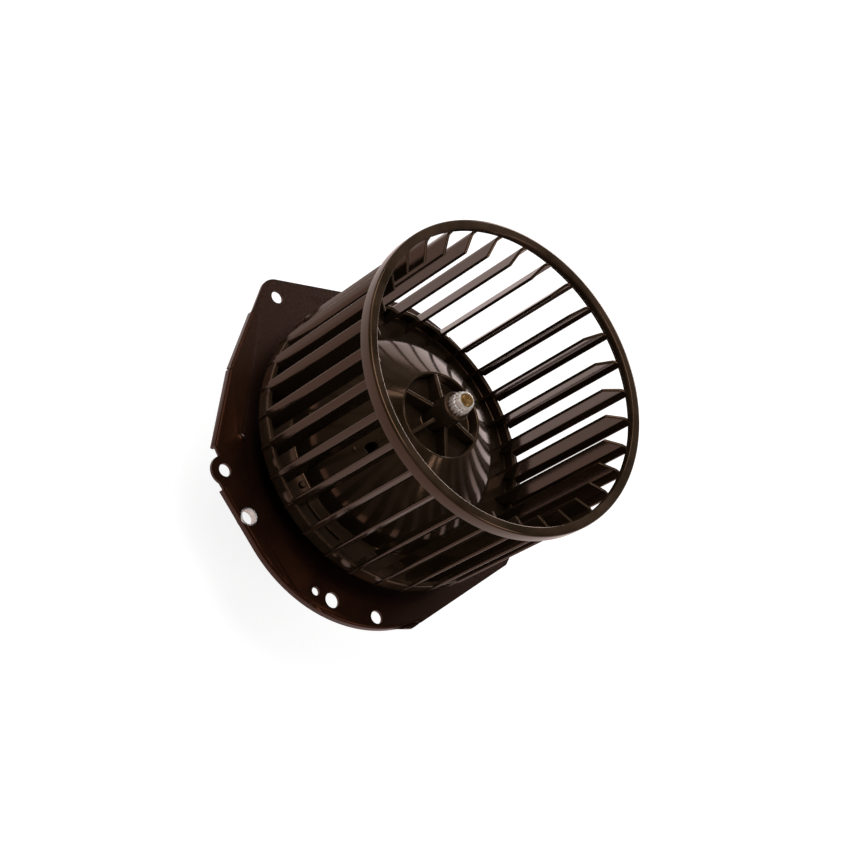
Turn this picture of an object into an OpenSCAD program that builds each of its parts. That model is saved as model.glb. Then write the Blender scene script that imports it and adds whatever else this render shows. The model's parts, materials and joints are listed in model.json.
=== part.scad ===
// Car cabin blower motor: a vented brush motor on a stamped flange, with a moulded squirrel-cage wheel. The wheel's
// hub, blades and front ring are solids of their own that meet face to face.
// The origin is on the shaft's axis at the flange's wheel-side face, and +Z runs along the shaft to the wheel's open end.

/* [Wheel] */
// Height of the wheel from its back face to its open face
wheel_h = 97.4; // [92:0.2:104]
// Gap between the flange's face and the wheel's back face
wheel_gap = 9; // [7:0.5:12]
// Number of blades
blade_count = 31; // [28:1:34]
// Direction of the first blade's inner edge, in degrees
blade_first_deg = 8; // [0:0.1:11]
// Thickness of a blade
blade_t = 1.6; // [1.4:0.1:2.2]
// Radius of the bow across a blade
blade_bow_r = 11.1; // [10:0.1:14]
// Diameter of the circle on which the blades' inner edges lie
blade_inner_d = 128.4; // [126:0.2:131]
// Radial width of a blade, from its inner edge to its outer edge
blade_reach = 7.4; // [6.8:0.1:7.6]
// How far the front ring's outside stands beyond the blades' inner edges
ring_reach = 11.8; // [11.4:0.1:12.4]
// Height of the long chamfer on each blade's inner front corner
blade_chamfer_h = 6.5; // [4:0.5:10]
// How far the blades' ends reach under the front ring's face
blade_root_w = 1.6; // [1.2:0.1:2]

/* [Wheel rings] */
// Radial width of the front ring's face
ring_face_w = 4.6; // [4:0.1:6]
// Thickness of the front ring's face
ring_face_t = 3.8; // [3:0.1:5]
// Height of the front ring's rim
ring_rim_h = 7.2; // [6:0.1:9]
// Thickness of the front ring's rim
ring_rim_t = 2.0; // [1.6:0.1:2.6]
// Radius on the front ring's outer edge
ring_edge_r = 1.4; // [0.8:0.1:1.8]
// How far the back ring's outside stands beyond the blades' inner edges
back_ring_reach = 7.8; // [7.6:0.1:8.2]
// Height of the back ring
back_ring_h = 8; // [6:0.5:10]
// Thickness of the back ring
back_ring_t = 2.4; // [2:0.1:3]

/* [Wheel hub] */
// Thickness of the web, the dome and the recess
web_t = 2.2; // [1.8:0.1:2.8]
// Diameter of the dome's rim round the recess
dome_rim_d = 43.4; // [40:0.2:48]
// Height of the dome's rim above the wheel's back face
dome_rim_h = 44.7; // [42:0.1:48]
// Slope of the dome's cone, in degrees from level
dome_slope = 42.4; // [40:0.2:45]
// Distance from the dome's knee, where the cone rolls over, to the blades' inner edges
dome_knee_in = 22.2; // [20:0.2:24]
// Radius of the roll-over
dome_knee_r = 40; // [38:0.5:44]
// Depth of the recess in the dome's top
recess_depth = 6.2; // [5:0.1:8]
// Width of the rim between the recess and the dome's cone
recess_rim_w = 1.2; // [0.8:0.1:2]
// Number of ribs that make the star in the recess
rib_count = 6; // [5:1:8]
// Thickness of a rib
rib_t = 2.0; // [1.6:0.1:2.6]
// Rise of a rib from the rim to the boss
rib_rise = 3.7; // [2:0.1:5]
// Diameter of the hub's boss
boss_d = 14; // [12:0.2:17]
// Height of the boss above the dome's rim
boss_rise = 12.4; // [10:0.1:15]
// Length of the boss below the recess
boss_drop = 4; // [3:0.2:5]
// Diameter of the small vent through the dome
dome_vent_d = 5; // [3:0.5:7]
// Height of the balance rib and the balance pip on the web
balance_h = 1.2; // [0.8:0.1:2]

/* [Shaft and clip] */
// Diameter of the shaft
shaft_d = 6.35; // [6:0.05:7]
// Length of shaft that shows above the clip
shaft_tip = 1.4; // [1:0.1:3]
// Height of the spring clip
clip_h = 7.5; // [6:0.1:9]
// Outside diameter of the spring clip
clip_d = 9.6; // [9:0.1:11]
// Number of teeth round the clip
clip_teeth = 16; // [12:1:20]

/* [Flange] */
// Thickness of the flange's sheet steel
sheet_t = 1.6; // [1.2:0.1:2]
// Radius of the flange's round side
flange_r = 87.4; // [86.4:0.2:90]
// Distance from the axis to the flange's straight left edge
flange_left = 89.8; // [88.8:0.2:92]
// Distance from the axis to the flange's straight bottom edge
flange_bottom = 79.7; // [78:0.2:82]
// Radius of the corner between the left and bottom edges
flange_corner_r = 70.5; // [66:0.5:74]
// Radius of the flange round the ear's bolt hole
ear_r = 9.3; // [8:0.1:11]
// Radius of the flange round the left bolt hole
lobe_r = 7.2; // [6.5:0.1:8]
// Direction that the ear's right edge faces, in degrees
ear_right_deg = 58.8; // [57:0.2:60]
// Direction that the ear's left edge faces, in degrees
ear_left_deg = 123.4; // [122:0.2:125]
// Direction that the slanted left edge faces, in degrees
slant_deg = 132.4; // [131:0.2:134]
// Distance from the axis to the slanted left edge
slant_at = 85.2; // [84.9:0.1:86]
// Length of the slanted edge past the foot of the perpendicular from the axis
slant_run = 32.8; // [31:0.2:34]
// Depth of the lip that is folded back along the edges
lip_h = 4.3; // [3.5:0.1:6]
// Radius of the lip's bend
lip_bend_r = 1.4; // [1:0.1:2]

/* [Flange holes] */
// Diameter of the circle of mounting bolts
bolt_circle_d = 170.2; // [168:0.2:172]
// Offset of the bolt circle's centre from the shaft, along X
bolt_off_x = -2.3; // [-3:0.1:0]
// Offset of the bolt circle's centre from the shaft, along Y
bolt_off_y = 3.8; // [2:0.1:4.6]
// Direction of the first mounting bolt, in degrees
bolt_first_deg = 19.1; // [17:0.1:21]
// Diameter of a mounting bolt's hole
bolt_hole_d = 6.4; // [5.5:0.1:7]
// Bore of the eyelet in the flange's left side
eyelet_bore_d = 7.5; // [6:0.1:8]
// Depth of the eyelet behind the flange's face
eyelet_depth = 4.9; // [4:0.1:7]
// Diameter of the locating hole
locating_hole_d = 7.5; // [6:0.1:8]
// Diameter of the two small tooling holes
tooling_hole_d = 4.2; // [3:0.1:5]
// Depth of the drawn dish round the motor
dish_depth = 5; // [4:0.2:6]
// Diameter of the dish's mouth
dish_d = 132; // [126:1:136]

/* [Motor] */
// Outside diameter of the motor's can
can_d = 76; // [73:0.5:78]
// Wall of the can and of its end cap
can_wall = 1.5; // [1.2:0.1:2]
// Height of the can's front above the flange's face
can_front = 33; // [30:0.2:34]
// Depth of the can's open end behind the flange's face
can_rear = 46; // [44:0.5:50]
// Height of the end cap behind the can
cap_h = 8; // [7.6:0.1:10]
// Outside diameter of a bearing
bearing_d = 17.6; // [16:0.2:19]
// Height of the nose over the front bearing
nose_h = 4; // [3:0.1:4.4]
// Outside diameter of the armature's core
core_d = 49; // [46:0.2:50]
// Length of the armature's core
core_h = 34; // [30:0.5:36]
// Number of slots in the core
core_slots = 12; // [10:1:14]
// Diameter of the commutator
commutator_d = 21; // [19:0.2:23]
// Thickness of a magnet
magnet_t = 10.6; // [10:0.1:10.8]
// Width of a terminal blade
blade_tab_w = 6.3; // [4.8:0.1:6.6]
// Thickness of a terminal blade
blade_tab_t = 0.8; // [0.5:0.1:1]

/* [Clearances] */
// Clearance at each side between pieces that are pushed together
fit = 0.05; // [0.03:0.01:0.1]
// Clearance round the shaft in its bearings
running = 0.03; // [0.02:0.01:0.06]
// Gap between seated pieces of the motor
seat = 0.2; // [0.1:0.05:0.3]
// Gap between the turning pieces and the pieces that stand still
air = 0.3; // [0.3:0.05:0.6]
// Gap between the blades and the back ring's inner wall
seam = 0.1; // [0.05:0.05:0.2]

/* [Hidden] */
$fn = 96;
eps = 0.01;
wheel_back = wheel_gap;
wheel_front = wheel_gap + wheel_h;
blade_r = blade_inner_d / 2;
blade_out_r = blade_r + blade_reach;
wheel_r = blade_r + ring_reach;
ring_in_r = wheel_r - ring_face_w;
back_r = blade_r + back_ring_reach;
ring_under = wheel_front - ring_face_t;
web_top = wheel_back + web_t;
dome_rim_z = wheel_back + dome_rim_h;
dome_rim_r = dome_rim_d / 2;
recess_r = dome_rim_r - recess_rim_w;
recess_z = dome_rim_z - recess_depth;
knee_x = blade_r - dome_knee_in;
knee_z = dome_rim_z - (knee_x - dome_rim_r) * tan(dome_slope);
knee_cx = knee_x - dome_knee_r * sin(dome_slope);
knee_cz = knee_z - dome_knee_r * cos(dome_slope);
boss_top = dome_rim_z + boss_rise;
boss_bottom = recess_z - web_t - boss_drop;
shaft_r = shaft_d / 2;
shaft_top = boss_top + clip_h + shaft_tip;
bolt_r = bolt_hole_d / 2;
bolt_step = 72;
bolt_count = 5;
can_r = can_d / 2;
can_in_r = can_r - can_wall;
cap_bottom = -can_rear - cap_h;
dish_floor = -dish_depth - sheet_t;
bearing_r = bearing_d / 2;
nose_r = bearing_r + seat + can_wall;
bearing_h = 7.4;
front_bearing_z = can_front + nose_h - can_wall - seat - bearing_h;
rear_bearing_z = cap_bottom + can_wall;
cup_t = 1.2;
cup_hole_r = 5;
washer_r = cup_hole_r - air - fit;
washer_t = 1.2;
core_z = -20;
winding_h = 7.5;
commutator_h = 10.5;
commutator_z = core_z - winding_h - 2.5 - commutator_h;
card_t = 1.6;
card_z = -can_rear + 1.5;
brush_w = 5;
brush_h = 6;
holder_wall = 0.8;
holder_len = 16;
magnet_deg = 66;
ear_count = 3;
ear_first_deg = 30;
rivet_at = can_r + 8;
rivet_r = 2.4;
rivet_head_r = 4.4;
rivet_head_h = 1.6;
tab_t = 1.5;
eyelet_wall = 0.7;
eyelet_out_r = eyelet_bore_d / 2 + eyelet_wall;
eyelet_x = -flange_left + eyelet_out_r + 0.1;
eyelet_y = 4.6;
spigot_r = can_in_r - seat;
spigot_in_r = spigot_r - can_wall;
screw_z = -can_rear + 3;
screw_r = 2;
block_w = 12;
block_h = 5;
block_z = cap_bottom + 1.9;
block_deg = -60;
holder_z = card_z + card_t;
holder_x = commutator_d / 2 + 3;
brush_back = holder_x + 8;

function on_circle(r, a) = [r * cos(a), r * sin(a)];
function bolt_at(i) = [bolt_off_x, bolt_off_y] + on_circle(bolt_circle_d / 2, bolt_first_deg + i * bolt_step);
edge_in = 0.02;
function edge_distance(deg) = bolt_at(1) * on_circle(1, deg) + ear_r - edge_in;
kink_turn = slant_deg - ear_left_deg;
slant_to_kink = (edge_distance(ear_left_deg) - slant_at * cos(kink_turn)) / sin(kink_turn);
ear_lip_len = 34;
lip_relief = 0.6;
slant_lip_len = slant_run + slant_to_kink - lip_relief;

// A ring between two radii, from height z0 to z1
module ring(r_out, r_in, z0, z1) {
    translate([0, 0, z0])
        difference() {
            cylinder(r = r_out, h = z1 - z0);
            translate([0, 0, -1]) cylinder(r = r_in, h = z1 - z0 + 2);
        }
}

// Copies its children round the axis
module around(count, first = 0) {
    for (i = [0 : count - 1]) rotate([0, 0, first + i * 360 / count]) children();
}

// Blade section: an arc that leaves the inner circle along the radius and leads clockwise at its outer end
module blade_section() {
    intersection() {
        translate([blade_r, -blade_bow_r])
            difference() {
                circle(r = blade_bow_r + blade_t / 2);
                circle(r = blade_bow_r - blade_t / 2);
            }
        difference() {
            circle(r = ring_in_r + blade_root_w);
            circle(r = blade_r);
        }
        translate([blade_r - 4, -blade_bow_r * 0.8]) square([wheel_r, blade_bow_r]);
    }
}

// The space that the blades fill: inside the back ring, on its top, and wider under the front ring, with a long
// chamfer off the inner front corner
module blade_envelope() {
    ends_h = ring_rim_h - ring_face_t;
    back_ring_top = wheel_back + back_ring_h;
    difference() {
        union() {
            translate([0, 0, web_top]) cylinder(r = back_r - back_ring_t - seam, h = back_ring_h);
            translate([0, 0, back_ring_top]) cylinder(r = blade_out_r, h = ring_under - back_ring_top - 1);
            translate([0, 0, ring_under - ends_h]) cylinder(r = ring_in_r + blade_root_w, h = ends_h);
        }
        rotate_extrude()
            polygon([[0, ring_under - blade_chamfer_h], [blade_r - eps, ring_under - blade_chamfer_h],
                [ring_in_r, ring_under], [ring_in_r, wheel_front + 1], [0, wheel_front + 1]]);
    }
}

// The blades stand on the web and the back ring, and reach up to the front ring's underside
module wheel_blades() {
    color([0.10, 0.07, 0.06])
        intersection() {
            translate([0, 0, web_top])
                linear_extrude(height = ring_under - web_top)
                    for (i = [0 : blade_count - 1]) rotate(blade_first_deg + i * 360 / blade_count) blade_section();
            blade_envelope();
        }
}

// Front ring: a flat face with a rim turned back round the blades' ends
module front_ring_profile() {
    difference() {
        union() {
            translate([ring_in_r, ring_under]) square([ring_face_w, ring_face_t]);
            translate([wheel_r - ring_rim_t, wheel_front - ring_rim_h]) square([ring_rim_t, ring_rim_h]);
        }
        translate([wheel_r - ring_edge_r, wheel_front - ring_edge_r])
            difference() {
                square(ring_edge_r + 1);
                circle(r = ring_edge_r);
            }
        translate([ring_in_r + ring_edge_r / 2, wheel_front - ring_edge_r / 2])
            rotate(90)
                difference() {
                    square(ring_edge_r / 2 + 1);
                    circle(r = ring_edge_r / 2);
                }
    }
}

// Half section under the dome's skin: cone above, roll-over below, drawn in by the given depth
module dome_section(depth) {
    cone_drop = depth / cos(dome_slope);
    apex_z = dome_rim_z + dome_rim_r * tan(dome_slope) - cone_drop;
    polygon([[0, wheel_back - 1], [0, apex_z],
        [knee_x - depth * sin(dome_slope), knee_z - depth * cos(dome_slope)],
        [knee_cx, knee_cz], [knee_cx, wheel_back - 1]]);
    intersection() {
        translate([knee_cx, knee_cz]) circle(r = dome_knee_r - depth);
        translate([knee_cx - 1, wheel_back - 1]) square(2 * dome_knee_r);
    }
}

// Web, dome, recess and boss as one half section
module hub_profile() {
    difference() {
        union() {
            difference() {
                dome_section(0);
                translate([-1, dome_rim_z]) square([wheel_r, wheel_h]);
            }
            translate([0, wheel_back]) square([back_r - back_ring_t / 2, web_t]);
        }
        translate([-1, wheel_back - wheel_h]) square([wheel_r, wheel_h]);
        translate([-1, recess_z]) square([recess_r + 1, wheel_h]);
        difference() {
            dome_section(web_t);
            translate([-1, recess_z - web_t]) square([recess_r + web_t + 1, wheel_h]);
        }
    }
    translate([0, boss_bottom]) square([boss_d / 2, boss_top - boss_bottom]);
}

// A rib of the star, from the boss to the recess's wall
module star_rib() {
    rotate([90, 0, 0])
        linear_extrude(height = rib_t, center = true)
            polygon([[0, recess_z - eps], [recess_r + eps, recess_z - eps], [recess_r + eps, dome_rim_z - 0.2],
                [0, dome_rim_z - 0.2 + rib_rise]]);
}

// Marks moulded on the web for balancing: a short rib along a circle and a round pip
module balance_marks() {
    rib_at = blade_r - 3;
    rotate([0, 0, 183.5])
        rotate_extrude(angle = 21) translate([rib_at - 0.7, web_top - eps]) square([1.4, balance_h + eps]);
    rotate([0, 0, 175.2]) translate([rib_at - 2.7, 0, web_top - eps]) cylinder(r = 1.8, h = balance_h + eps);
}

module wheel_front_ring() {
    color([0.10, 0.07, 0.06]) rotate_extrude() front_ring_profile();
}

// Web, back ring, dome and boss of the wheel
module wheel_hub() {
    color([0.10, 0.07, 0.06])
        difference() {
            union() {
                ring(back_r, back_r - back_ring_t, wheel_back, wheel_back + back_ring_h);
                rotate_extrude() hub_profile();
                around(rib_count) star_rib();
                balance_marks();
            }
            translate([0, 0, boss_bottom - 1]) cylinder(r = shaft_r + fit, h = boss_top - boss_bottom + 2);
            translate([-35.8, 3.5, web_top + 1]) cylinder(r = dome_vent_d / 2, h = dome_rim_h);
        }
}

module wheel_clip() {
    groove_r = 0.45;
    color([0.78, 0.78, 0.76])
        translate([0, 0, boss_top])
            difference() {
                union() {
                    cylinder(r = clip_d / 2 + 0.5, h = clip_h * 0.6);
                    cylinder(r = clip_d / 2, h = clip_h);
                }
                translate([0, 0, -1]) cylinder(r = shaft_r + fit, h = clip_h + 2);
                around(clip_teeth)
                    translate([clip_d / 2 + 0.6, 0, -1]) cylinder(r = groove_r, h = clip_h * 0.8 + 1);
            }
}

module shaft() {
    chamfer = 0.6;
    bottom = rear_bearing_z + 1.5;
    color([0.72, 0.56, 0.28])
        union() {
            translate([0, 0, bottom]) cylinder(r1 = shaft_r - chamfer, r2 = shaft_r, h = chamfer);
            translate([0, 0, bottom + chamfer]) cylinder(r = shaft_r, h = shaft_top - bottom - 2 * chamfer);
            translate([0, 0, shaft_top - chamfer]) cylinder(r1 = shaft_r, r2 = shaft_r - chamfer, h = chamfer);
        }
}

// Outline of the flange's round and straight sides, without the ear
module flange_body_outline() {
    intersection() {
        circle(r = flange_r);
        translate([-flange_r, -flange_bottom]) square(2 * flange_r);
    }
    intersection() {
        translate([-flange_left, -flange_bottom]) square([flange_left, flange_bottom + bolt_at(2)[1]]);
        union() {
            corner_disc(0);
            translate([-flange_left + flange_corner_r, -flange_bottom]) square([flange_corner_r, flange_left]);
            translate([-flange_left, -flange_bottom + flange_corner_r]) square([flange_left, flange_left]);
        }
    }
}

// Disc of the rounded corner, drawn in by the given depth
module corner_disc(depth) {
    translate([flange_corner_r - flange_left, flange_corner_r - flange_bottom]) circle(r = flange_corner_r - depth);
}

// Everything beyond the straight edge that faces the given direction, at the given distance
module beyond_edge(deg, distance) {
    rotate(deg) translate([distance, -flange_r]) square([flange_r, 2 * flange_r]);
}

// A point on the slanted left edge, a run along it from the foot of the perpendicular from the axis
function slant_point(run) = slant_at * on_circle(1, slant_deg) + run * on_circle(1, slant_deg + 90);

// Where the ear's lip starts, a relief away from the kink between the two left edges
function ear_lip_start() = slant_point(-slant_to_kink) - lip_relief * on_circle(1, ear_left_deg + 90);

// Outline of the panel that carries the ear: its straight edges run a hair inside the tangents of the end's circle
module ear_outline() {
    right_end = ear_right_deg - acos(edge_distance(ear_right_deg) / flange_r);
    polygon([bolt_at(1) + on_circle(ear_r - edge_in, ear_right_deg), on_circle(flange_r, right_end), [0, 0],
        bolt_at(2) + [0, -lobe_r / 2], slant_point(slant_run), slant_point(-slant_to_kink),
        bolt_at(1) + on_circle(ear_r - edge_in, ear_left_deg)]);
    translate(bolt_at(1)) circle(r = ear_r);
    translate(bolt_at(2)) circle(r = lobe_r);
}

// A lip along a straight edge, folded back, with its bend rounded
module straight_lip(length) {
    rotate([90, 0, 0])
        linear_extrude(height = length)
            difference() {
                translate([-sheet_t, -lip_h]) square([sheet_t, lip_h]);
                bend_cut();
            }
}

// The corner that a bend takes off the edge of the sheet
module bend_cut() {
    translate([-lip_bend_r, -lip_bend_r])
        difference() {
            square(lip_bend_r + 1);
            circle(r = lip_bend_r);
        }
}

module mounting_flange() {
    corner_c = [flange_corner_r - flange_left, flange_corner_r - flange_bottom];
    lip_top = bolt_at(2)[1] - lobe_r;
    lip_end_deg = 262;
    pip_r = 3;
    pip_rise = 0.8;
    pips = [[-66.1, 37.9], [79.0, 24.1], [80.7, 11.2], [68.2, 40.1]];
    color([0.13, 0.09, 0.075])
        difference() {
            union() {
                translate([0, 0, -sheet_t])
                    linear_extrude(height = sheet_t)
                        difference() {
                            union() {
                                difference() {
                                    flange_body_outline();
                                    beyond_edge(ear_right_deg, edge_distance(ear_right_deg));
                                    beyond_edge(ear_left_deg, edge_distance(ear_left_deg));
                                    beyond_edge(slant_deg, slant_at);
                                }
                                ear_outline();
                            }
                            circle(r = dish_d / 2 - 1);
                        }
                dish();
                translate([-flange_left, lip_top, 0]) mirror([1, 0, 0]) straight_lip(lip_top - corner_c[1]);
                translate(corner_c)
                    rotate([0, 0, 180])
                        rotate_extrude(angle = lip_end_deg - 180)
                            difference() {
                                translate([flange_corner_r - sheet_t, -lip_h]) square([sheet_t, lip_h]);
                                translate([flange_corner_r, 0]) bend_cut();
                            }
                translate(slant_point(slant_run)) rotate([0, 0, slant_deg]) straight_lip(slant_lip_len);
                translate(ear_lip_start()) rotate([0, 0, ear_left_deg]) straight_lip(ear_lip_len);
                for (p = pips)
                    translate([p[0], p[1], pip_rise - pip_r])
                        intersection() {
                            sphere(r = pip_r);
                            translate([-pip_r, -pip_r, 0]) cube(2 * pip_r);
                        }
            }
            flange_cuts(lip_top, corner_c, lip_end_deg);
        }
}

// Every hole through the flange, and the rounding along its folded edges
module flange_cuts(lip_top, corner_c, lip_end_deg) {
    through = lip_h + dish_depth + 4;
    for (i = [0 : bolt_count - 1])
        translate(bolt_at(i)) translate([0, 0, 2 - through]) cylinder(r = bolt_r, h = through);
    translate([eyelet_x, eyelet_y, 2 - through]) cylinder(r = eyelet_out_r + fit, h = through);
    translate([-68.5, -48.1, 2 - through]) cylinder(r = locating_hole_d / 2, h = through);
    for (p = [[-74.1, -40.5], [80.6, 5.8]])
        translate([p[0], p[1], 2 - through]) cylinder(r = tooling_hole_d / 2, h = through);
    around(ear_count, ear_first_deg)
        translate([rivet_at, 0, dish_floor - 1]) cylinder(r = rivet_r + fit, h = sheet_t + 2);
    translate([-flange_left, lip_top, 0])
        mirror([1, 0, 0]) rotate([90, 0, 0]) linear_extrude(height = lip_top - corner_c[1]) bend_cut();
    translate(corner_c)
        rotate([0, 0, 180])
            rotate_extrude(angle = lip_end_deg - 180) translate([flange_corner_r, 0]) bend_cut();
    translate(slant_point(slant_run))
        rotate([0, 0, slant_deg]) rotate([90, 0, 0]) linear_extrude(height = slant_lip_len) bend_cut();
    translate(ear_lip_start())
        rotate([0, 0, ear_left_deg]) rotate([90, 0, 0]) linear_extrude(height = ear_lip_len) bend_cut();
}

// The drawn dish: a sloping wall down to a flat floor with the motor's opening
module dish() {
    wall_run = 4;
    mouth = dish_d / 2;
    rotate_extrude()
        polygon([[mouth + 1, 0], [mouth - 1, 0], [mouth - wall_run, -dish_depth], [can_r + seat, -dish_depth],
            [can_r + seat, dish_floor], [mouth - wall_run - 0.8, dish_floor], [mouth - 1.8, -sheet_t],
            [mouth + 1, -sheet_t]]);
}

// Eyelet clinched into the flange: a tube with a thin collar behind the sheet
module flange_eyelet() {
    color([0.55, 0.54, 0.52])
        translate([eyelet_x, eyelet_y, 0])
            difference() {
                translate([0, 0, -eyelet_depth]) cylinder(r = eyelet_out_r, h = eyelet_depth);
                translate([0, 0, -eyelet_depth - 1]) cylinder(r = eyelet_bore_d / 2, h = eyelet_depth + 2);
            }
}

// Ear that seats under the dish's floor
module can_ear() {
    difference() {
        translate([can_in_r + 0.5, -7, dish_floor - tab_t]) cube([rivet_at - can_in_r - 0.5, 14, tab_t]);
        translate([rivet_at, 0, dish_floor - tab_t - 1]) cylinder(r = rivet_r + fit, h = tab_t + 2);
    }
    difference() {
        translate([rivet_at, 0, dish_floor - tab_t]) cylinder(r = 7, h = tab_t);
        translate([rivet_at, 0, dish_floor - tab_t - 1]) cylinder(r = rivet_r + fit, h = tab_t + 2);
    }
}

// Outer half section of the can's front: flat, rounded shoulder and bearing nose, drawn in by the given depth
module can_front_section(depth) {
    shoulder_r = 6;
    top = can_front - depth;
    side = can_r - depth;
    bend = shoulder_r - depth;
    translate([0, -can_rear]) square([side, top - bend + can_rear]);
    translate([0, top - bend - 1]) square([side - bend, bend + 1]);
    translate([side - bend, top - bend]) circle(r = bend);
    translate([0, top - 1]) square([nose_r - depth, nose_h + 1]);
}

module motor_can() {
    vent_w = 9;
    vent_h = 4;
    color([0.42, 0.41, 0.33]) {
        difference() {
            union() {
                rotate_extrude()
                    difference() {
                        can_front_section(0);
                        intersection() {
                            can_front_section(can_wall);
                            translate([-1, -can_rear - 1]) square([can_r, 2 * can_r + can_rear]);
                        }
                        translate([-1, -can_rear - 1]) square([can_in_r + 1, 2]);
                        translate([-can_r, -can_rear]) square([can_r, 2 * can_r]);
                    }
                around(ear_count, ear_first_deg) can_ear();
            }
            translate([0, 0, can_front - can_wall - 1]) cylinder(r = shaft_r + 2, h = nose_h + 4);
            around(4, 45) translate([20, -vent_w / 2, can_front - can_wall - 1]) cube([vent_h, vent_w, can_wall + 2]);
            around(3, 90)
                translate([can_in_r - 1, 0, screw_z]) rotate([0, 90, 0]) cylinder(r = screw_r + fit, h = 4);
        }
    }
}

module flange_rivets() {
    grip = sheet_t + tab_t;
    color([0.62, 0.62, 0.60])
        for (i = [0 : ear_count - 1])
            rotate([0, 0, ear_first_deg + i * 360 / ear_count])
                translate([rivet_at, 0, dish_floor - tab_t]) {
                    extra = i == 0 ? blade_tab_t : 0;
                    translate([0, 0, -extra]) cylinder(r = rivet_r, h = grip + extra);
                    translate([0, 0, grip]) cylinder(r = rivet_head_r, h = rivet_head_h);
                    translate([0, 0, -extra - rivet_head_h]) cylinder(r = rivet_head_r, h = rivet_head_h);
                }
}

module ground_terminal() {
    reach = 15;
    color([0.72, 0.60, 0.30])
        rotate([0, 0, ear_first_deg])
            translate([rivet_at, 0, dish_floor - tab_t - blade_tab_t])
                difference() {
                    union() {
                        cylinder(r = 5.4, h = blade_tab_t);
                        translate([0, -blade_tab_w / 2, 0]) cube([reach, blade_tab_w, blade_tab_t]);
                        translate([reach - blade_tab_t, -blade_tab_w / 2, -8]) cube([blade_tab_t, blade_tab_w, 8.4]);
                    }
                    translate([0, 0, -1]) cylinder(r = rivet_r + fit, h = blade_tab_t + 2);
                }
}

module rear_end_cap() {
    spigot_h = 6;
    vent_r = 3.6;
    color([0.42, 0.41, 0.33])
        difference() {
            union() {
                ring(can_r, can_in_r, cap_bottom, -can_rear);
                ring(can_r - 0.5, spigot_in_r, -can_rear - 2, -can_rear);
                ring(spigot_r, spigot_in_r, -can_rear - 1, -can_rear + spigot_h);
                translate([0, 0, cap_bottom]) cylinder(r = can_r - 0.5, h = can_wall);
                ring(bearing_r + seat + can_wall, bearing_r + seat, cap_bottom + can_wall / 2,
                    rear_bearing_z + bearing_h - 1.4);
            }
            around(6) translate([23, 0, cap_bottom - 1]) cylinder(r = vent_r, h = can_wall + 2);
            around(3, 90)
                translate([spigot_in_r - 1, 0, screw_z]) rotate([0, 90, 0]) cylinder(r = screw_r + fit, h = 4);
            rotate([0, 0, block_deg])
                translate([can_in_r - 5, -block_w / 2 - seat, block_z - seat])
                    cube([10, block_w + 2 * seat, block_h + 2 * seat]);
        }
}

module terminal_block() {
    color([0.08, 0.08, 0.08])
        rotate([0, 0, block_deg])
            difference() {
                union() {
                    translate([can_in_r - 4, -block_w / 2, block_z]) cube([8.5, block_w, block_h]);
                    translate([can_r + seat, -block_w / 2 - 1.2, block_z - 1]) cube([1.6, block_w + 2.4, block_h + 2]);
                }
                translate([can_in_r - 5, -blade_tab_w / 2 - fit, block_z + block_h / 2 - blade_tab_t / 2 - fit])
                    cube([14, blade_tab_w + 2 * fit, blade_tab_t + 2 * fit]);
            }
}

module power_terminal() {
    color([0.72, 0.60, 0.30])
        rotate([0, 0, block_deg])
            translate([can_in_r - 6, -blade_tab_w / 2, block_z + block_h / 2 - blade_tab_t / 2])
                difference() {
                    cube([20, blade_tab_w, blade_tab_t]);
                    translate([16.5, blade_tab_w / 2, -1]) cylinder(r = 0.9, h = blade_tab_t + 2);
                }
}

module cap_screws() {
    grip = can_r - spigot_in_r;
    color([0.62, 0.62, 0.60])
        around(3, 90)
            translate([spigot_in_r, 0, screw_z])
                rotate([0, 90, 0]) {
                    cylinder(r = screw_r, h = grip);
                    translate([0, 0, grip]) cylinder(r = screw_r + 0.9, h = 1.6);
                }
}

module bearing(z) {
    color([0.62, 0.48, 0.28]) ring(bearing_r, shaft_r + running, z, z + bearing_h);
}

module front_bearing() bearing(front_bearing_z);

module rear_bearing() bearing(rear_bearing_z);

// Cup that holds the front bearing up in the can's nose
module front_bearing_cup() {
    cup_r = bearing_r + seat + cup_t + 3;
    color([0.55, 0.55, 0.53]) {
        ring(cup_r, cup_hole_r, front_bearing_z - cup_t, front_bearing_z);
        ring(cup_r, cup_r - cup_t, front_bearing_z - cup_t, can_front - can_wall);
    }
}

// Spring plate over the rear bearing, seated on the end cap's boss
module rear_bearing_retainer() {
    z = rear_bearing_z + bearing_h;
    color([0.55, 0.55, 0.53]) {
        ring(bearing_r + seat + can_wall, cup_hole_r, z, z + 0.8);
        ring(bearing_r + seat + can_wall, bearing_r + seat + 0.4, z - 1.4, z + 0.4);
    }
}

module magnet(side) {
    color([0.18, 0.18, 0.19])
        rotate([0, 0, side])
            translate([0, 0, core_z - 4])
                difference() {
                    linear_extrude(height = core_h + 8)
                        intersection() {
                            difference() {
                                circle(r = can_in_r - seat);
                                circle(r = can_in_r - seat - magnet_t);
                            }
                            polygon([[0, 0], on_circle(2 * can_r, -magnet_deg), [4 * can_r, 0],
                                on_circle(2 * can_r, magnet_deg)]);
                        }
                }
}

module left_magnet() magnet(180);

module right_magnet() magnet(0);

// Bowed springs that press the magnets apart, one in each gap between them
module magnet_springs() {
    spring_t = 0.6;
    gap_r = can_in_r - seat - magnet_t / 2;
    half = (gap_r * sin(magnet_deg) - 3) / tan(magnet_deg) - seat;
    color([0.50, 0.50, 0.50])
        around(2, 90)
            translate([gap_r * sin(magnet_deg), 0, core_z])
                linear_extrude(height = core_h)
                    difference() {
                        translate([-3, -half]) square([6, 2 * half]);
                        translate([-3 + spring_t, -half + spring_t]) square([8, 2 * half - 2 * spring_t]);
                    }
}

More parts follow.
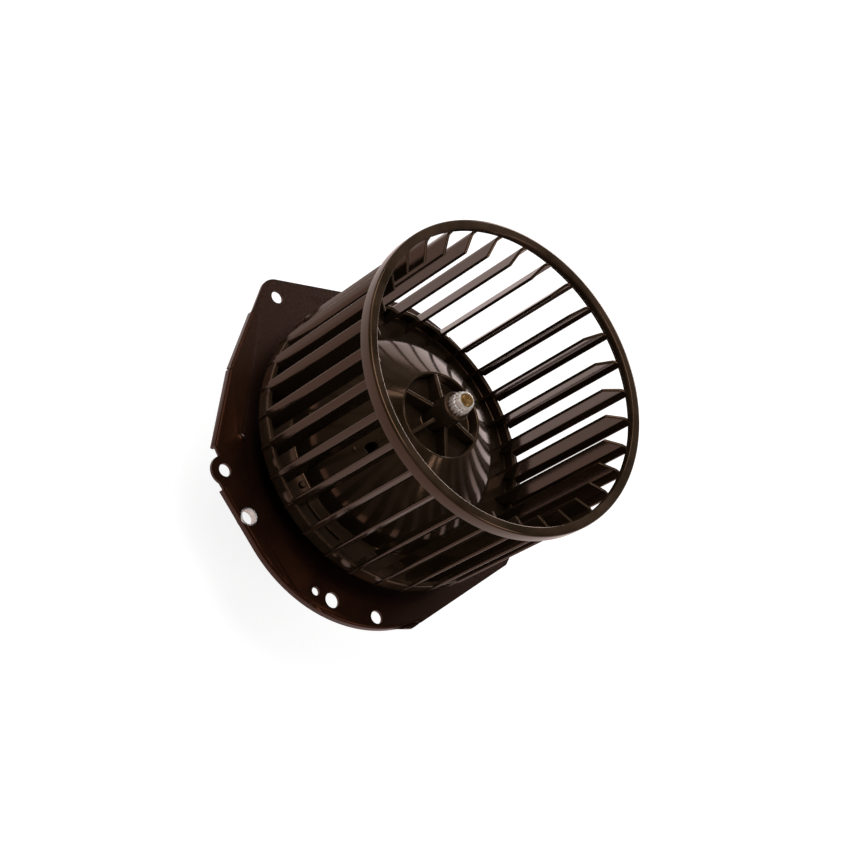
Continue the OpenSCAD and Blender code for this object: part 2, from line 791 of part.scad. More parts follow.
module brush_card() {
    color([0.45, 0.30, 0.16])
        difference() {
            ring(spigot_in_r - seat, bearing_r + 5, card_z, card_z + card_t);
            around(4, 45) translate([26, 0, card_z - 1]) cylinder(r = 3, h = card_t + 2);
        }
}

module brush_holders() {
    color([0.72, 0.60, 0.30])
        around(2)
            translate([holder_x, 0, holder_z])
                difference() {
                    translate([0, -brush_w / 2 - seat - holder_wall, 0])
                        cube([holder_len, brush_w + 2 * (seat + holder_wall), brush_h + 2 * (seat + holder_wall)]);
                    translate([-1, -brush_w / 2 - seat, holder_wall])
                        cube([holder_len + 1 - holder_wall, brush_w + 2 * seat, brush_h + 2 * seat]);
                }
}

module carbon_brushes() {
    color([0.12, 0.12, 0.12])
        around(2)
            difference() {
                translate([commutator_d / 2, -brush_w / 2, holder_z + holder_wall + seat])
                    cube([brush_back - commutator_d / 2, brush_w, brush_h]);
                translate([0, 0, holder_z]) cylinder(r = commutator_d / 2 + air, h = brush_h + 4);
            }
}

// Ring springs behind the brushes
module brush_springs() {
    room = holder_x + holder_len - holder_wall - brush_back;
    spring_r = room / 2 - fit;
    color([0.60, 0.60, 0.58])
        around(2)
            translate([brush_back + room / 2, 0, 0])
                ring(min(spring_r, brush_w / 2), min(spring_r, brush_w / 2) - 0.5, holder_z + holder_wall + seat,
                    holder_z + holder_wall + seat + brush_h - 1);
}

module slot_hole(grow) {
    translate([core_d / 2 - 6, 0]) circle(r = 2.9 + grow);
}

module armature_core() {
    color([0.36, 0.36, 0.37])
        translate([0, 0, core_z])
            linear_extrude(height = core_h)
                difference() {
                    circle(r = core_d / 2);
                    circle(r = shaft_r + fit);
                    for (i = [0 : core_slots - 1])
                        rotate(i * 360 / core_slots) {
                            slot_hole(0);
                            translate([core_d / 2 - 5, -1]) square([8, 2]);
                        }
                }
}

module armature_windings() {
    in_r = shaft_r + 4.5;
    out_r = core_d / 2 - 3;
    round_r = 2.5;
    color([0.62, 0.30, 0.14])
        union() {
            for (z = [core_z - winding_h, core_z + core_h])
                ring(out_r, in_r, z, z + winding_h);
            around(core_slots)
                translate([core_d / 2 - 6, 0, core_z - round_r]) cylinder(r = 2.9 - seat, h = core_h + 2 * round_r);
        }
}

module commutator() {
    color([0.75, 0.45, 0.25])
        difference() {
            union() {
                translate([0, 0, commutator_z]) cylinder(r = commutator_d / 2, h = commutator_h);
                translate([0, 0, commutator_z + commutator_h - 1.6]) cylinder(r = commutator_d / 2 + 1.6, h = 1.6);
            }
            translate([0, 0, commutator_z - 1]) cylinder(r = shaft_r + fit, h = commutator_h + 2);
            around(core_slots)
                translate([commutator_d / 2 - 0.8, -0.3, commutator_z - 1]) cube([4, 0.6, commutator_h + 2]);
        }
}

module thrust_washers() {
    front_z = front_bearing_z - air;
    rear_z = rear_bearing_z + bearing_h + air;
    color([0.80, 0.76, 0.66]) {
        ring(washer_r, shaft_r + fit, front_z - washer_t, front_z);
        ring(washer_r, shaft_r + fit, rear_z, rear_z + washer_t);
    }
}

mounting_flange();
flange_eyelet();
motor_can();
flange_rivets();
rear_end_cap();
cap_screws();
front_bearing();
rear_bearing();
front_bearing_cup();
rear_bearing_retainer();
left_magnet();
right_magnet();
magnet_springs();
brush_card();
brush_holders();
carbon_brushes();
brush_springs();
terminal_block();
power_terminal();
ground_terminal();
shaft();
armature_core();
armature_windings();
commutator();
thrust_washers();
wheel_hub();
wheel_blades();
wheel_front_ring();
wheel_clip();
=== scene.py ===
"""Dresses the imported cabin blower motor: a squirrel-cage wheel on a small flanged motor, in soft light.

The wheel, its clip, the shaft and the eyelet are new surfaces worked out with numpy. The other nodes are
refined copies of their solids. Every piece gets a procedural finish named for its real material.
"""

import json
import logging
from dataclasses import dataclass, field
from enum import Enum
from typing import Any

import bmesh
import bpy
import numpy as np
from mathutils import Matrix

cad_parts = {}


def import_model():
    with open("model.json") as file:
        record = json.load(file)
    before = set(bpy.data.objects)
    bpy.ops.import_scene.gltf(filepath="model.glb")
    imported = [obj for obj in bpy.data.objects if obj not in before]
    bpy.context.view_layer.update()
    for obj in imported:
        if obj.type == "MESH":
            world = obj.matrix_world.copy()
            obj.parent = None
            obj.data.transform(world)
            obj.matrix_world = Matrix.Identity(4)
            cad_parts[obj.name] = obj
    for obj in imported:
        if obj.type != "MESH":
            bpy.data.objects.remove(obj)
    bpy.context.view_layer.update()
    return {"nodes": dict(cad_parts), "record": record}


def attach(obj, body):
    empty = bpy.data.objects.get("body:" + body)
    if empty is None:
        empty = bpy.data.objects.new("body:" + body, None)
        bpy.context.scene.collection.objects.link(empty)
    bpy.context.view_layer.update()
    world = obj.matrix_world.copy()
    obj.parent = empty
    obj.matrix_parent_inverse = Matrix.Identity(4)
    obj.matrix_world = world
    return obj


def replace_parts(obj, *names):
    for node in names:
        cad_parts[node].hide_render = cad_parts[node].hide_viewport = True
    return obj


log = logging.getLogger("blower")

Pair = tuple[float, float]
Triple = tuple[float, float, float]
Colour = tuple[float, float, float, float]

MM = 0.001
# Faces of the new surfaces that meet at more than this keep a sharp edge between them
SHARP_DEG = 38.0


class Body(Enum):
    """The two bodies of the part: what stands still and what turns."""

    MOTOR = "motor"
    ROTOR = "rotor"


class Pattern(Enum):
    """What a finish's marks look like."""

    GRAIN = "grain"
    LAMINATED = "laminated"
    WOUND = "wound"


def linear(code: str) -> Colour:
    """Turns an sRGB hex colour into a linear one.

    Args:
        code: The colour as #rrggbb.

    Returns:
        Red, green, blue and an alpha of 1, each from 0 to 1.
    """
    srgb = np.array([int(code[i : i + 2], 16) for i in (1, 3, 5)]) / 255.0
    light = np.where(srgb <= 0.04045, srgb / 12.92, ((srgb + 0.055) / 1.055) ** 2.4)
    return (*light.tolist(), 1.0)


def placed(name: str, data: bpy.types.ID) -> bpy.types.Object:
    """Puts an object into the scene.

    Args:
        name: The object's name.
        data: Its mesh, lamp or camera.

    Returns:
        The object.
    """
    thing = bpy.data.objects.new(name, data)
    bpy.context.scene.collection.objects.link(thing)
    return thing


def add_node(
    tree: bpy.types.NodeTree,
    kind: str,
    settings: dict[str, Any] | None = None,
    inputs: dict[str | int, Any] | None = None,
) -> bpy.types.Node:
    """Adds a node with its settings, and sets or links its inputs.

    Args:
        tree: The node tree that gets the node.
        kind: The node's type, such as ShaderNodeTexNoise.
        settings: Attributes of the node.
        inputs: A value, or an output socket to link, for each input's name or place.

    Returns:
        The new node.
    """
    node = tree.nodes.new(kind)
    for key, value in (settings or {}).items():
        setattr(node, key, value)
    for key, value in (inputs or {}).items():
        if isinstance(value, bpy.types.NodeSocket):
            tree.links.new(value, node.inputs[key])
        else:
            node.inputs[key].default_value = value
    return node


@dataclass(frozen=True)
class Finish:
    """A surface finish. Sizes are in millimetres; the pattern lies in the part's own coordinates."""

    name: str
    colour: str
    shade: str
    edge: str
    roughness: Pair = (0.35, 0.5)
    metallic: float = 0.0
    ior: float | None = None
    patch_mm: float = 14.0
    grain_mm: float = 0.5
    depth_mm: float = 0.02
    stretch: Triple = (1.0, 1.0, 1.0)
    pattern: Pattern = Pattern.GRAIN
    pitch_mm: float = 1.0
    tint: str | None = None

    def build(self) -> bpy.types.Material:
        """Builds the finish as a node material.

        Returns:
            The material, with colour, roughness and relief that vary over the surface.
        """
        material = bpy.data.materials.new(self.name)
        material.use_nodes = True
        tree = material.node_tree
        shader = tree.nodes["Principled BSDF"]
        where = add_node(tree, "ShaderNodeTexCoord").outputs["Object"]
        drawn = add_node(
            tree, "ShaderNodeMapping", None, {"Vector": where, "Scale": self.stretch}
        ).outputs["Vector"]
        patches = add_node(
            tree, "ShaderNodeTexNoise", None,
            {"Vector": drawn, "Scale": 1.0 / (self.patch_mm * MM), "Detail": 3.0, "Roughness": 0.6},
        ).outputs[0]
        grain = add_node(
            tree, "ShaderNodeTexNoise", None,
            {"Vector": drawn, "Scale": 1.0 / (self.grain_mm * MM), "Detail": 2.0},
        ).outputs[0]
        relief = self.relief(tree, where, grain)
        drift = add_node(
            tree, "ShaderNodeMapRange", None, {"Value": patches, "From Min": 0.35, "From Max": 0.68}
        ).outputs[0]
        body = add_node(
            tree, "ShaderNodeMix", {"data_type": "RGBA"},
            {"Factor": drift, 6: linear(self.colour), 7: linear(self.shade)},
        ).outputs[2]
        worn = add_node(tree, "ShaderNodeAttribute", {"attribute_name": "edge"}).outputs["Fac"]
        rubbed = add_node(
            tree, "ShaderNodeMath", {"operation": "MULTIPLY", "use_clamp": True}, {0: worn, 1: drift}
        ).outputs[0]
        coloured = add_node(
            tree, "ShaderNodeMix", {"data_type": "RGBA"},
            {"Factor": rubbed, 6: body, 7: linear(self.edge)},
        ).outputs[2]
        matt = add_node(
            tree, "ShaderNodeMapRange", None,
            {"Value": grain, "From Min": 0.3, "From Max": 0.7,
             "To Min": self.roughness[0], "To Max": self.roughness[1]},
        ).outputs[0]
        bump = add_node(
            tree, "ShaderNodeBump", None,
            {"Strength": 0.6, "Distance": self.depth_mm * MM, "Height": relief},
        ).outputs[0]
        tree.links.new(coloured, shader.inputs["Base Color"])
        tree.links.new(matt, shader.inputs["Roughness"])
        tree.links.new(bump, shader.inputs["Normal"])
        shader.inputs["Metallic"].default_value = self.metallic
        if self.ior is not None:
            shader.inputs["IOR"].default_value = self.ior
        if self.tint is not None:
            shader.inputs["Specular Tint"].default_value = linear(self.tint)
        return material

    def relief(
        self, tree: bpy.types.NodeTree, where: bpy.types.NodeSocket, grain: bpy.types.NodeSocket
    ) -> bpy.types.NodeSocket:
        """Adds the height pattern: grain alone, or grain over bands.

        A wave of period p metres has a scale of 2 pi / (20 p).

        Args:
            tree: The material's node tree.
            where: The part's coordinates.
            grain: The grain's noise.

        Returns:
            The socket that holds the height.
        """
        if self.pattern is Pattern.GRAIN:
            return grain
        settings = {
            Pattern.LAMINATED: {"wave_type": "BANDS", "bands_direction": "Z"},
            Pattern.WOUND: {"wave_type": "RINGS", "rings_direction": "Z"},
        }[self.pattern]
        bands = add_node(
            tree, "ShaderNodeTexWave", settings,
            {"Vector": where, "Scale": 2 * np.pi / (20 * self.pitch_mm * MM), "Distortion": 0.4},
        ).outputs[1]
        return add_node(
            tree, "ShaderNodeMix", {"data_type": "FLOAT"}, {"Factor": 0.35, 2: bands, 3: grain}
        ).outputs[0]


@dataclass(frozen=True)
class MouldedPolypropylene(Finish):
    """Filled polypropylene, injection moulded: near black with a brown cast and a satin sheen."""

    name: str = "moulded_polypropylene"
    colour: str = "#241b10"
    shade: str = "#2c2117"
    edge: str = "#403125"
    roughness: Pair = (0.1, 0.18)
    ior: float | None = 1.5
    patch_mm: float = 22.0
    grain_mm: float = 0.7
    depth_mm: float = 0.012
    stretch: Triple = (1.0, 1.0, 0.35)
    tint: str | None = "#ffc29a"


@dataclass(frozen=True)
class PaintedSteel(Finish):
    """Dip-painted sheet steel: dark brown satin with the slight orange peel of stoved paint."""

    name: str = "painted_steel"
    colour: str = "#100704"
    shade: str = "#1a0d07"
    edge: str = "#3d2a1e"
    roughness: Pair = (0.28, 0.4)
    ior: float | None = 1.45
    patch_mm: float = 26.0
    grain_mm: float = 1.3
    depth_mm: float = 0.03
    tint: str | None = "#ff9a6a"


@dataclass(frozen=True)
class PassivatedCan(Finish):
    """Drawn steel, zinc plated and passivated: dull olive grey with long drawing marks."""

    name: str = "passivated_can"
    colour: str = "#7a775f"
    shade: str = "#5f5c49"
    edge: str = "#a09c82"
    roughness: Pair = (0.38, 0.56)
    metallic: float = 1.0
    patch_mm: float = 12.0
    grain_mm: float = 0.6
    depth_mm: float = 0.015
    stretch: Triple = (1.0, 1.0, 0.15)


@dataclass(frozen=True)
class BrightZinc(Finish):
    """Bright zinc plate on small hardware: pale bluish silver, a little cloudy."""

    name: str = "bright_zinc_plate"
    colour: str = "#b9bab9"
    shade: str = "#9a9b99"
    edge: str = "#d8d8d6"
    roughness: Pair = (0.22, 0.38)
    metallic: float = 1.0
    patch_mm: float = 3.0
    grain_mm: float = 0.3
    depth_mm: float = 0.008


@dataclass(frozen=True)
class SpringSteel(Finish):
    """Bare spring steel, stamped and tumbled: near white metal with fine scuffs."""

    name: str = "tumbled_spring_steel"
    colour: str = "#ece9e2"
    shade: str = "#d2cec6"
    edge: str = "#fbf9f4"
    roughness: Pair = (0.34, 0.5)
    metallic: float = 1.0
    patch_mm: float = 2.5
    grain_mm: float = 0.25
    depth_mm: float = 0.01


@dataclass(frozen=True)
class YellowPlatedShaft(Finish):
    """Ground shaft with yellow passivated plate: golden brass colour with faint grinding rings."""

    name: str = "yellow_plated_shaft"
    colour: str = "#9c7440"
    shade: str = "#7f5a2c"
    edge: str = "#c39c62"
    roughness: Pair = (0.26, 0.4)
    metallic: float = 1.0
    patch_mm: float = 4.0
    grain_mm: float = 0.3
    depth_mm: float = 0.006
    pattern: Pattern = Pattern.LAMINATED
    pitch_mm: float = 0.8


@dataclass(frozen=True)
class SinteredBronze(Finish):
    """Sintered bearing bronze, oil soaked: brown gold and finely porous."""

    name: str = "sintered_bronze"
    colour: str = "#8f6a3a"
    shade: str = "#6e4f2a"
    edge: str = "#a98350"
    roughness: Pair = (0.42, 0.62)
    metallic: float = 1.0
    patch_mm: float = 4.0
    grain_mm: float = 0.25
    depth_mm: float = 0.03


@dataclass(frozen=True)
class FerriteMagnet(Finish):
    """Pressed and fired ferrite: dark grey ceramic, matt with a fine grit."""

    name: str = "ferrite_magnet"
    colour: str = "#2c2c2f"
    shade: str = "#38383b"
    edge: str = "#55555a"
    roughness: Pair = (0.6, 0.8)
    ior: float | None = 1.9
    patch_mm: float = 6.0
    grain_mm: float = 0.3
    depth_mm: float = 0.03


@dataclass(frozen=True)
class PhenolicLaminate(Finish):
    """Paper phenolic laminate: warm brown board with short fibres and a dull gloss."""

    name: str = "phenolic_laminate"
    colour: str = "#7a4e28"
    shade: str = "#603b1d"
    edge: str = "#94663a"
    roughness: Pair = (0.4, 0.55)
    ior: float | None = 1.6
    patch_mm: float = 5.0
    grain_mm: float = 0.8
    stretch: Triple = (1.0, 0.2, 1.0)


@dataclass(frozen=True)
class BrassSheet(Finish):
    """Rolled brass sheet, stamped: yellow metal with rolling lines and slight tarnish."""

    name: str = "rolled_brass_sheet"
    colour: str = "#c2a253"
    shade: str = "#9d7f3a"
    edge: str = "#dcc07a"
    roughness: Pair = (0.26, 0.42)
    metallic: float = 1.0
    patch_mm: float = 4.0
    grain_mm: float = 0.35
    depth_mm: float = 0.01
    stretch: Triple = (0.2, 1.0, 1.0)


@dataclass(frozen=True)
class PressedCarbon(Finish):
    """Pressed carbon brush: black, matt, with a graphite glint."""

    name: str = "pressed_carbon"
    colour: str = "#1c1c1d"
    shade: str = "#262627"
    edge: str = "#3a3a3c"
    roughness: Pair = (0.5, 0.68)
    ior: float | None = 1.8
    patch_mm: float = 3.0
    grain_mm: float = 0.2


@dataclass(frozen=True)
class LaminatedSteel(Finish):
    """Stack of stamped electrical steel: grey with the edge of each lamination, drawn 1 mm apart to show."""

    name: str = "laminated_steel"
    colour: str = "#6c6c6f"
    shade: str = "#525255"
    edge: str = "#8c8c90"
    roughness: Pair = (0.4, 0.55)
    metallic: float = 1.0
    patch_mm: float = 6.0
    grain_mm: float = 0.4
    depth_mm: float = 0.05
    pattern: Pattern = Pattern.LAMINATED


@dataclass(frozen=True)
class EnamelledCopper(Finish):
    """Enamelled copper wire in coils: red brown under clear varnish, with the turns of 0.8 mm wire."""

    name: str = "enamelled_copper"
    colour: str = "#8c3f1c"
    shade: str = "#6d2f14"
    edge: str = "#b05a2c"
    roughness: Pair = (0.25, 0.4)
    metallic: float = 0.8
    patch_mm: float = 5.0
    grain_mm: float = 0.4
    depth_mm: float = 0.2
    pattern: Pattern = Pattern.WOUND
    pitch_mm: float = 0.8


@dataclass(frozen=True)
class CommutatorCopper(Finish):
    """Hard-drawn copper, turned and run in: pink brown with fine turning marks."""

    name: str = "turned_commutator_copper"
    colour: str = "#b06a3c"
    shade: str = "#7d4526"
    edge: str = "#cf8a58"
    roughness: Pair = (0.24, 0.4)
    metallic: float = 1.0
    patch_mm: float = 3.0
    grain_mm: float = 0.3
    depth_mm: float = 0.01
    pattern: Pattern = Pattern.LAMINATED
    pitch_mm: float = 0.5


@dataclass(frozen=True)
class VulcanisedFibre(Finish):
    """Vulcanised fibre washer: pale buff board, matt, with soft mottling."""

    name: str = "vulcanised_fibre"
    colour: str = "#bfb193"
    shade: str = "#a39678"
    edge: str = "#d0c4a8"
    roughness: Pair = (0.55, 0.7)
    ior: float | None = 1.5
    patch_mm: float = 2.5
    grain_mm: float = 0.3


@dataclass(frozen=True)
class BlackPolyamide(Finish):
    """Moulded polyamide terminal block: black with a fine spark texture."""

    name: str = "black_polyamide"
    colour: str = "#121212"
    shade: str = "#1a1a1a"
    edge: str = "#2e2e2e"
    roughness: Pair = (0.4, 0.55)
    ior: float | None = 1.53
    patch_mm: float = 5.0
    grain_mm: float = 0.4
    depth_mm: float = 0.03


@dataclass
class Palette:
    """Every finish of the part, built once and handed out by its slot in the record."""

    finishes: dict[str, Finish] = field(
        default_factory=lambda: {
            "wheel_moulding": MouldedPolypropylene(),
            "flange_paint": PaintedSteel(),
            "zinc_can": PassivatedCan(),
            "bright_zinc": BrightZinc(),
            "spring_steel": SpringSteel(),
            "plated_shaft": YellowPlatedShaft(),
            "sintered_bronze": SinteredBronze(),
            "ferrite": FerriteMagnet(),
            "phenolic_card": PhenolicLaminate(),
            "brass_sheet": BrassSheet(),
            "carbon": PressedCarbon(),
            "core_steel": LaminatedSteel(),
            "enamelled_copper": EnamelledCopper(),
            "commutator_copper": CommutatorCopper(),
            "fibre": VulcanisedFibre(),
            "terminal_plastic": BlackPolyamide(),
        }
    )
    made: dict[str, bpy.types.Material] = field(default_factory=dict)

    def material(self, slot: str) -> bpy.types.Material:
        """Gives the material of a slot, and builds it the first time.

        Args:
            slot: The record's material slot.

        Returns:
            The slot's material.
        """
        if slot not in self.made:
            self.made[slot] = self.finishes[slot].build()
        return self.made[slot]


@dataclass
class Shell:
    """A mesh as arrays: points in millimetres, quads, triangles and how near each point lies to an edge."""

    points: np.ndarray
    quads: np.ndarray
    triangles: np.ndarray
    edge: np.ndarray

    def turned(self, degrees: np.ndarray) -> "Shell":
        """Repeats the shell round the Z axis, one copy for each angle.

        Args:
            degrees: The angle of each copy.

        Returns:
            All the copies as one shell.
        """
        turn = np.radians(degrees)[:, None]
        x, y, z = self.points.T
        copies = stacked(x * np.cos(turn) - y * np.sin(turn), x * np.sin(turn) + y * np.cos(turn), z)
        step = np.arange(len(degrees))[:, None, None] * len(self.points)
        return Shell(
            copies.reshape(-1, 3),
            (self.quads[None] + step).reshape(-1, 4),
            (self.triangles[None] + step).reshape(-1, 3),
            np.tile(self.edge, len(degrees)),
        )

    def joined(self, other: "Shell") -> "Shell":
        """Puts two shells into one.

        Args:
            other: The shell that is added.

        Returns:
            A shell with both.
        """
        step = len(self.points)
        return Shell(
            np.concatenate([self.points, other.points]),
            np.concatenate([self.quads, other.quads + step]),
            np.concatenate([self.triangles, other.triangles + step]),
            np.concatenate([self.edge, other.edge]),
        )

    def outward(self) -> "Shell":
        """Turns the faces outwards.

        The volume is the sum of a . (b x c) / 6 over the triangles, and its sign tells which way they face.

        Returns:
            The shell itself, or one with every face turned round.
        """
        corners = np.concatenate([self.quads[:, [0, 1, 2]], self.quads[:, [0, 2, 3]], self.triangles])
        a, b, c = self.points[corners].transpose(1, 0, 2)
        if np.einsum("ij,ij->", a, np.cross(b, c)) >= 0:
            return self
        return Shell(self.points, self.quads[:, ::-1], self.triangles[:, ::-1], self.edge)

    def piece(self, name: str, body: Body, slot: str, palette: Palette) -> bpy.types.Object:
        """Makes the shell a piece of the scene that rides on a body.

        Args:
            name: The piece's name.
            body: The body that carries it.
            slot: The record's material slot.
            palette: The finishes.

        Returns:
            The piece.
        """
        mesh = bpy.data.meshes.new(name)
        mesh.from_pydata((self.points * MM).tolist(), [], self.quads.tolist() + self.triangles.tolist())
        worn = mesh.attributes.new("edge", "FLOAT", "POINT")
        worn.data.foreach_set("value", self.edge.astype(np.float32))
        mesh.shade_smooth()
        mesh.set_sharp_from_angle(angle=np.radians(SHARP_DEG))
        mesh.materials.append(palette.material(slot))
        piece = placed(name, mesh)
        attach(piece, body.value)
        log.info("piece %s: %d faces", name, len(mesh.polygons))
        return piece


def rounded(corners: list[list[float]], steps: int) -> tuple[np.ndarray, np.ndarray]:
    """Rounds the corners of a closed outline.

    For a corner with half angle h and radius r, the arc touches both sides at r / tan(h) from the corner, and
    its centre lies r / sin(h) along the bisector. The arc's points are turned from one touching point to the
    other.

    Args:
        corners: One row for each corner: its two coordinates and its radius.
        steps: Pieces in each arc.

    Returns:
        The outline's points, and for each how near it is to an outward corner, from 0 to 1.
    """
    table = np.array(corners, dtype=float)
    spot, radius = table[:, :2], table[:, 2:3]
    back = np.roll(spot, 1, axis=0) - spot
    ahead = np.roll(spot, -1, axis=0) - spot
    back /= np.linalg.norm(back, axis=1, keepdims=True)
    ahead /= np.linalg.norm(ahead, axis=1, keepdims=True)
    half = np.arccos(np.clip(np.sum(back * ahead, axis=1, keepdims=True), -1, 1)) / 2
    bisector = back + ahead
    centre = spot + bisector / np.linalg.norm(bisector, axis=1, keepdims=True) * radius / np.sin(half)
    start = spot + back * radius / np.tan(half) - centre
    end = spot + ahead * radius / np.tan(half) - centre
    sweep = np.pi - 2 * half
    share = np.linspace(0, 1, steps + 1)[None, :, None]
    span = sweep[:, :, None]
    arc = (np.sin((1 - share) * span) * start[:, None] + np.sin(share * span) * end[:, None]) / np.sin(span)
    turn = back[:, 0] * ahead[:, 1] - back[:, 1] * ahead[:, 0]
    side = np.sign(np.sum(turn * np.sin(half[:, 0])))
    outward = (np.sign(turn) == side) & (radius[:, 0] < 2)
    edge = np.repeat(outward.astype(float)[:, None], steps + 1, axis=1)
    return (centre[:, None] + arc).reshape(-1, 2), edge.reshape(-1)


def stacked(*parts: np.ndarray | float) -> np.ndarray:
    """Gives points from their coordinates.

    Args:
        parts: Each coordinate, in shapes that can be broadcast together.

    Returns:
        The points, with the coordinates as the last axis.
    """
    return np.stack(np.broadcast_arrays(*parts), axis=-1)


def polar(radius: np.ndarray | float, angle: np.ndarray | float, height: np.ndarray | float) -> np.ndarray:
    """Gives the points (r cos a, r sin a, z).

    Args:
        radius: Distance from the Z axis.
        angle: Angle round it, in radians.
        height: Height along it.

    Returns:
        The points.
    """
    return stacked(radius * np.cos(angle), radius * np.sin(angle), height)


def revolved(
    outline: np.ndarray, edge: np.ndarray, turns: int, first: float = 0.0, sweep: float = 360.0
) -> Shell:
    """Carries a closed outline round the Z axis.

    Point (i, j) is (r_i cos a_j, r_i sin a_j, z_i) for outline point i and angle a_j.

    Args:
        outline: Radius and height of each point of the outline.
        edge: How near each point of the outline is to an edge.
        turns: Steps round the axis.
        first: The angle at which it starts, in degrees.
        sweep: How far it goes, in degrees; under 360 the two ends are closed.

    Returns:
        The closed surface.
    """
    whole = sweep >= 360
    angle = np.radians(first + np.linspace(0, sweep, turns + 1)[: turns if whole else turns + 1])
    r, z = outline.T
    grid = polar(r[:, None], angle, z[:, None])
    return lofted(grid.transpose(1, 0, 2), np.tile(edge, (len(angle), 1)), whole)


def lofted(rows: np.ndarray, edge: np.ndarray, ring: bool = False) -> Shell:
    """Joins closed sections into a closed surface.

    Row i, point j is joined to row i + 1, point j + 1. Open ends are closed by a fan to the section's middle.

    Args:
        rows: Sections by points by coordinates.
        edge: How near each point is to an edge, sections by points.
        ring: The last section joins the first.

    Returns:
        The closed surface, with its faces outward.
    """
    count, size = rows.shape[:2]
    i = np.arange(count if ring else count - 1)[:, None]
    j = np.arange(size)[None, :]
    here, there = i * size, (i + 1) % count * size
    after = (j + 1) % size
    quads = np.stack([here + j, there + j, there + after, here + after], axis=-1).reshape(-1, 4)
    points, near = rows.reshape(-1, 3), edge.reshape(-1)
    triangles = np.zeros((0, 3), dtype=int)
    if not ring:
        middles = rows[[0, -1]].mean(axis=1)
        loop = np.arange(size)
        follow = (loop + 1) % size
        low = np.stack([np.full(size, count * size), loop, follow], axis=1)
        last = (count - 1) * size
        high = np.stack([np.full(size, count * size + 1), last + follow, last + loop], axis=1)
        triangles = np.concatenate([low, high])
        points = np.concatenate([points, middles])
        near = np.concatenate([near, [0.0, 0.0]])
    return Shell(points, quads, triangles, near).outward()


